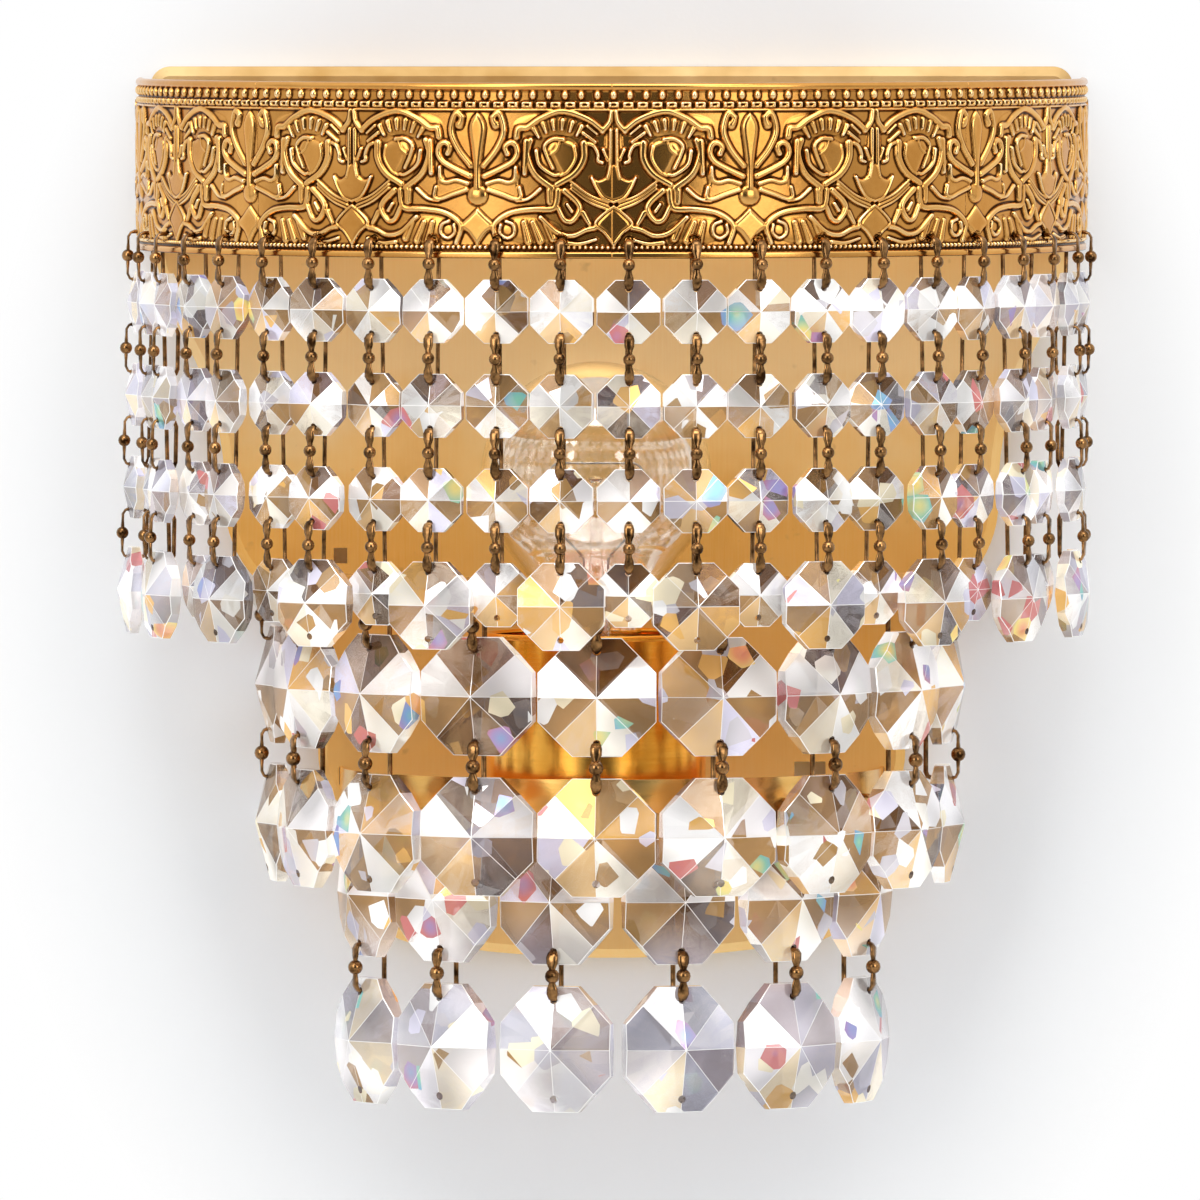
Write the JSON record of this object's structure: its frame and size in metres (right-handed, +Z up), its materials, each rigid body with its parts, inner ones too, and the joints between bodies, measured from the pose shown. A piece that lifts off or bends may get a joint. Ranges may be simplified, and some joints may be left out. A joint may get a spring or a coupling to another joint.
{
  "type": "crystal wall sconce",
  "caption": "Half-round wall light: pierced brass gallery on a shaped back tray, stepped tiers of cut octagon crystals on wire links, and one lamp in a cup behind them.",
  "frame": {"origin": "middle of the wall bar's back face, on the wall", "axes": "+X to the right seen from the room, +Z up, -Y out into the room; the wall is the plane Y = 0"},
  "size_m": [0.2511, 0.1369, 0.2643],
  "materials": {
    "gilt_brass": "warm gilt brass sheet, brushed, dark in the embossed hollows",
    "antique_brass": "darkened brass, worn bright on the high spots",
    "cut_crystal": "clear cut crystal, faceted and polished",
    "clear_glass": "thin clear blown glass",
    "zinc_steel": "zinc-plated steel",
    "contact_brass": "thin rolled brass with a pressed thread",
    "white_ceramic": "glazed white ceramic",
    "terminal_plastic": "off-white moulded plastic",
    "wire_sleeve": "heat-proof woven sleeve, cream",
    "filament_wire": "fine drawn wire"
  },
  "bodies": {
    "root": {"back_tray": "gilt_brass", "wall_bar": "zinc_steel", "fixing_screws": "zinc_steel", "gallery_band": "gilt_brass", "rivets": "antique_brass", "middle_ring": "gilt_brass", "lower_ring": "gilt_brass", "lamp_bracket": "gilt_brass", "lamp_cup": "gilt_brass", "holder_nipple": "zinc_steel", "nipple_nuts": "zinc_steel", "holder_shell": "gilt_brass", "holder_core": "white_ceramic", "holder_contacts": "contact_brass", "terminal_block": "terminal_plastic", "terminal_screws": "zinc_steel", "lamp_wires": "wire_sleeve", "wire_bush": "terminal_plastic", "earth_screw": "antique_brass"},
    "bulb": {"bulb_glass": "clear_glass", "bulb_cap": "contact_brass", "bulb_stem": "clear_glass", "bulb_filament": "filament_wire"},
    "upper_strand_01": {"upper_strand_01": "cut_crystal"},
    "upper_strand_02": {"upper_strand_02": "cut_crystal"},
    "upper_strand_03": {"upper_strand_03": "cut_crystal"},
    "upper_strand_04": {"upper_strand_04": "cut_crystal"},
    "upper_strand_05": {"upper_strand_05": "cut_crystal"},
    "upper_strand_06": {"upper_strand_06": "cut_crystal"},
    "upper_strand_07": {"upper_strand_07": "cut_crystal"},
    "upper_strand_08": {"upper_strand_08": "cut_crystal"},
    "upper_strand_09": {"upper_strand_09": "cut_crystal"},
    "upper_strand_10": {"upper_strand_10": "cut_crystal"},
    "upper_strand_11": {"upper_strand_11": "cut_crystal"},
    "upper_strand_12": {"upper_strand_12": "cut_crystal"},
    "upper_strand_13": {"upper_strand_13": "cut_crystal"},
    "upper_strand_14": {"upper_strand_14": "cut_crystal"},
    "upper_strand_15": {"upper_strand_15": "cut_crystal"},
    "upper_strand_16": {"upper_strand_16": "cut_crystal"},
    "upper_strand_17": {"upper_strand_17": "cut_crystal"},
    "upper_strand_18": {"upper_strand_18": "cut_crystal"},
    "upper_strand_19": {"upper_strand_19": "cut_crystal"},
    "upper_strand_20": {"upper_strand_20": "cut_crystal"},
    "upper_strand_21": {"upper_strand_21": "cut_crystal"},
    "upper_strand_22": {"upper_strand_22": "cut_crystal"},
    "middle_strand_1": {"middle_strand_1": "cut_crystal"},
    "middle_strand_2": {"middle_strand_2": "cut_crystal"},
    "middle_strand_3": {"middle_strand_3": "cut_crystal"},
    "middle_strand_4": {"middle_strand_4": "cut_crystal"},
    "middle_strand_5": {"middle_strand_5": "cut_crystal"},
    "middle_strand_6": {"middle_strand_6": "cut_crystal"},
    "middle_strand_7": {"middle_strand_7": "cut_crystal"},
    "middle_strand_8": {"middle_strand_8": "cut_crystal"},
    "middle_strand_9": {"middle_strand_9": "cut_crystal"},
    "lower_strand_1": {"lower_strand_1": "cut_crystal"},
    "lower_strand_2": {"lower_strand_2": "cut_crystal"},
    "lower_strand_3": {"lower_strand_3": "cut_crystal"},
    "lower_strand_4": {"lower_strand_4": "cut_crystal"},
    "lower_strand_5": {"lower_strand_5": "cut_crystal"},
    "lower_strand_6": {"lower_strand_6": "cut_crystal"}
  },
  "joints": [
    {"name": "upper_strand_01_swing", "type": "hinge", "parent": "root", "child": "upper_strand_01", "pos_m": [-0.12062, -0.02181, -0.0193], "axis": [-0.0974, 0.9952, 0], "range_deg": [0, 16]},
    {"name": "upper_strand_02_swing", "type": "hinge", "parent": "root", "child": "upper_strand_02", "pos_m": [-0.11788, -0.03817, -0.0193], "axis": [-0.2324, 0.9726, 0], "range_deg": [-12, 0]},
    {"name": "upper_strand_03_swing", "type": "hinge", "parent": "root", "child": "upper_strand_03", "pos_m": [-0.11293, -0.05401, -0.0193], "axis": [-0.3631, 0.9318, 0], "range_deg": [0, 16]},
    {"name": "upper_strand_04_swing", "type": "hinge", "parent": "root", "child": "upper_strand_04", "pos_m": [-0.10586, -0.06902, -0.0193], "axis": [-0.4869, 0.8734, 0], "range_deg": [-12, 0]},
    {"name": "upper_strand_05_swing", "type": "hinge", "parent": "root", "child": "upper_strand_05", "pos_m": [-0.09681, -0.08292, -0.0193], "axis": [-0.6017, 0.7987, 0], "range_deg": [0, 16]},
    {"name": "upper_strand_06_swing", "type": "hinge", "parent": "root", "child": "upper_strand_06", "pos_m": [-0.08594, -0.09546, -0.0193], "axis": [-0.7051, 0.7091, 0], "range_deg": [-12, 0]},
    {"name": "upper_strand_07_swing", "type": "hinge", "parent": "root", "child": "upper_strand_07", "pos_m": [-0.07346, -0.1064, -0.0193], "axis": [-0.7954, 0.6061, 0], "range_deg": [0, 16]},
    {"name": "upper_strand_08_swing", "type": "hinge", "parent": "root", "child": "upper_strand_08", "pos_m": [-0.05961, -0.11553, -0.0193], "axis": [-0.8707, 0.4918, 0], "range_deg": [-12, 0]},
    {"name": "upper_strand_09_swing", "type": "hinge", "parent": "root", "child": "upper_strand_09", "pos_m": [-0.04464, -0.12268, -0.0193], "axis": [-0.9297, 0.3683, 0], "range_deg": [0, 16]},
    {"name": "upper_strand_10_swing", "type": "hinge", "parent": "root", "child": "upper_strand_10", "pos_m": [-0.02883, -0.12772, -0.0193], "axis": [-0.9713, 0.2379, 0], "range_deg": [-12, 0]},
    {"name": "upper_strand_11_swing", "type": "hinge", "parent": "root", "child": "upper_strand_11", "pos_m": [-0.01248, -0.13056, -0.0193], "axis": [-0.9947, 0.103, 0], "range_deg": [0, 16]},
    {"name": "upper_strand_12_swing", "type": "hinge", "parent": "root", "child": "upper_strand_12", "pos_m": [0.0041, -0.13113, -0.0193], "axis": [-0.9994, -0.0339, 0], "range_deg": [-12, 0]},
    {"name": "upper_strand_13_swing", "type": "hinge", "parent": "root", "child": "upper_strand_13", "pos_m": [0.02061, -0.12943, -0.0193], "axis": [-0.9854, -0.17, 0], "range_deg": [0, 16]},
    {"name": "upper_strand_14_swing", "type": "hinge", "parent": "root", "child": "upper_strand_14", "pos_m": [0.03673, -0.1255, -0.0193], "axis": [-0.953, -0.303, 0], "range_deg": [-12, 0]},
    {"name": "upper_strand_15_swing", "type": "hinge", "parent": "root", "child": "upper_strand_15", "pos_m": [0.05216, -0.1194, -0.0193], "axis": [-0.9027, -0.4304, 0], "range_deg": [0, 16]},
    {"name": "upper_strand_16_swing", "type": "hinge", "parent": "root", "child": "upper_strand_16", "pos_m": [0.06661, -0.11125, -0.0193], "axis": [-0.8354, -0.5496, 0], "range_deg": [-12, 0]},
    {"name": "upper_strand_17_swing", "type": "hinge", "parent": "root", "child": "upper_strand_17", "pos_m": [0.07982, -0.10121, -0.0193], "axis": [-0.7525, -0.6586, 0], "range_deg": [0, 16]},
    {"name": "upper_strand_18_swing", "type": "hinge", "parent": "root", "child": "upper_strand_18", "pos_m": [0.09153, -0.08945, -0.0193], "axis": [-0.6555, -0.7552, 0], "range_deg": [-12, 0]},
    {"name": "upper_strand_19_swing", "type": "hinge", "parent": "root", "child": "upper_strand_19", "pos_m": [0.10152, -0.0762, -0.0193], "axis": [-0.5462, -0.8376, 0], "range_deg": [0, 16]},
    {"name": "upper_strand_20_swing", "type": "hinge", "parent": "root", "child": "upper_strand_20", "pos_m": [0.10961, -0.06172, -0.0193], "axis": [-0.4267, -0.9044, 0], "range_deg": [-12, 0]},
    {"name": "upper_strand_21_swing", "type": "hinge", "parent": "root", "child": "upper_strand_21", "pos_m": [0.11565, -0.04626, -0.0193], "axis": [-0.2992, -0.9542, 0], "range_deg": [0, 16]},
    {"name": "upper_strand_22_swing", "type": "hinge", "parent": "root", "child": "upper_strand_22", "pos_m": [0.11952, -0.03013, -0.0193], "axis": [-0.1661, -0.9861, 0], "range_deg": [-12, 0]},
    {"name": "middle_strand_1_swing", "type": "hinge", "parent": "root", "child": "middle_strand_1", "pos_m": [-0.08566, -0.01765, -0.1115], "axis": [-0.0889, 0.996, 0], "range_deg": [0, 20]},
    {"name": "middle_strand_2_swing", "type": "hinge", "parent": "root", "child": "middle_strand_2", "pos_m": [-0.07749, -0.04729, -0.1115], "axis": [-0.4337, 0.9011, 0], "range_deg": [0, 20]},
    {"name": "middle_strand_3_swing", "type": "hinge", "parent": "root", "child": "middle_strand_3", "pos_m": [-0.05942, -0.07218, -0.1115], "axis": [-0.723, 0.6909, 0], "range_deg": [0, 20]},
    {"name": "middle_strand_4_swing", "type": "hinge", "parent": "root", "child": "middle_strand_4", "pos_m": [-0.03374, -0.08911, -0.1115], "axis": [-0.9198, 0.3923, 0], "range_deg": [0, 20]},
    {"name": "middle_strand_5_swing", "type": "hinge", "parent": "root", "child": "middle_strand_5", "pos_m": [-0.00375, -0.09592, -0.1115], "axis": [-0.999, 0.0436, 0], "range_deg": [0, 20]},
    {"name": "middle_strand_6_swing", "type": "hinge", "parent": "root", "child": "middle_strand_6", "pos_m": [0.02672, -0.09174, -0.1115], "axis": [-0.9505, -0.3107, 0], "range_deg": [0, 20]},
    {"name": "middle_strand_7_swing", "type": "hinge", "parent": "root", "child": "middle_strand_7", "pos_m": [0.05377, -0.07712, -0.1115], "axis": [-0.7804, -0.6252, 0], "range_deg": [0, 20]},
    {"name": "middle_strand_8_swing", "type": "hinge", "parent": "root", "child": "middle_strand_8", "pos_m": [0.07395, -0.05391, -0.1115], "axis": [-0.5105, -0.8599, 0], "range_deg": [0, 20]},
    {"name": "middle_strand_9_swing", "type": "hinge", "parent": "root", "child": "middle_strand_9", "pos_m": [0.08467, -0.02508, -0.1115], "axis": [-0.1754, -0.9845, 0], "range_deg": [0, 20]},
    {"name": "lower_strand_1_swing", "type": "hinge", "parent": "root", "child": "lower_strand_1", "pos_m": [-0.06181, -0.04177, -0.1631], "axis": [-0.4571, 0.8894, 0], "range_deg": [-2, 12]},
    {"name": "lower_strand_2_swing", "type": "hinge", "parent": "root", "child": "lower_strand_2", "pos_m": [-0.04202, -0.06536, -0.1631], "axis": [-0.7965, 0.6046, 0], "range_deg": [-2, 12]},
    {"name": "lower_strand_3_swing", "type": "hinge", "parent": "root", "child": "lower_strand_3", "pos_m": [-0.01397, -0.07808, -0.1631], "axis": [-0.9796, 0.2011, 0], "range_deg": [-2, 12]},
    {"name": "lower_strand_4_swing", "type": "hinge", "parent": "root", "child": "lower_strand_4", "pos_m": [0.01681, -0.07744, -0.1631], "axis": [-0.9703, -0.2419, 0], "range_deg": [-2, 12]},
    {"name": "lower_strand_5_swing", "type": "hinge", "parent": "root", "child": "lower_strand_5", "pos_m": [0.0443, -0.06355, -0.1631], "axis": [-0.7705, -0.6374, 0], "range_deg": [-2, 12]},
    {"name": "lower_strand_6_swing", "type": "hinge", "parent": "root", "child": "lower_strand_6", "pos_m": [0.06309, -0.03915, -0.1631], "axis": [-0.4195, -0.9078, 0], "range_deg": [-2, 12]},
    {"name": "bulb_out", "type": "slide", "parent": "root", "child": "bulb", "axis": [0, 0, 1], "range_m": [0, 0.034]}
  ]
}
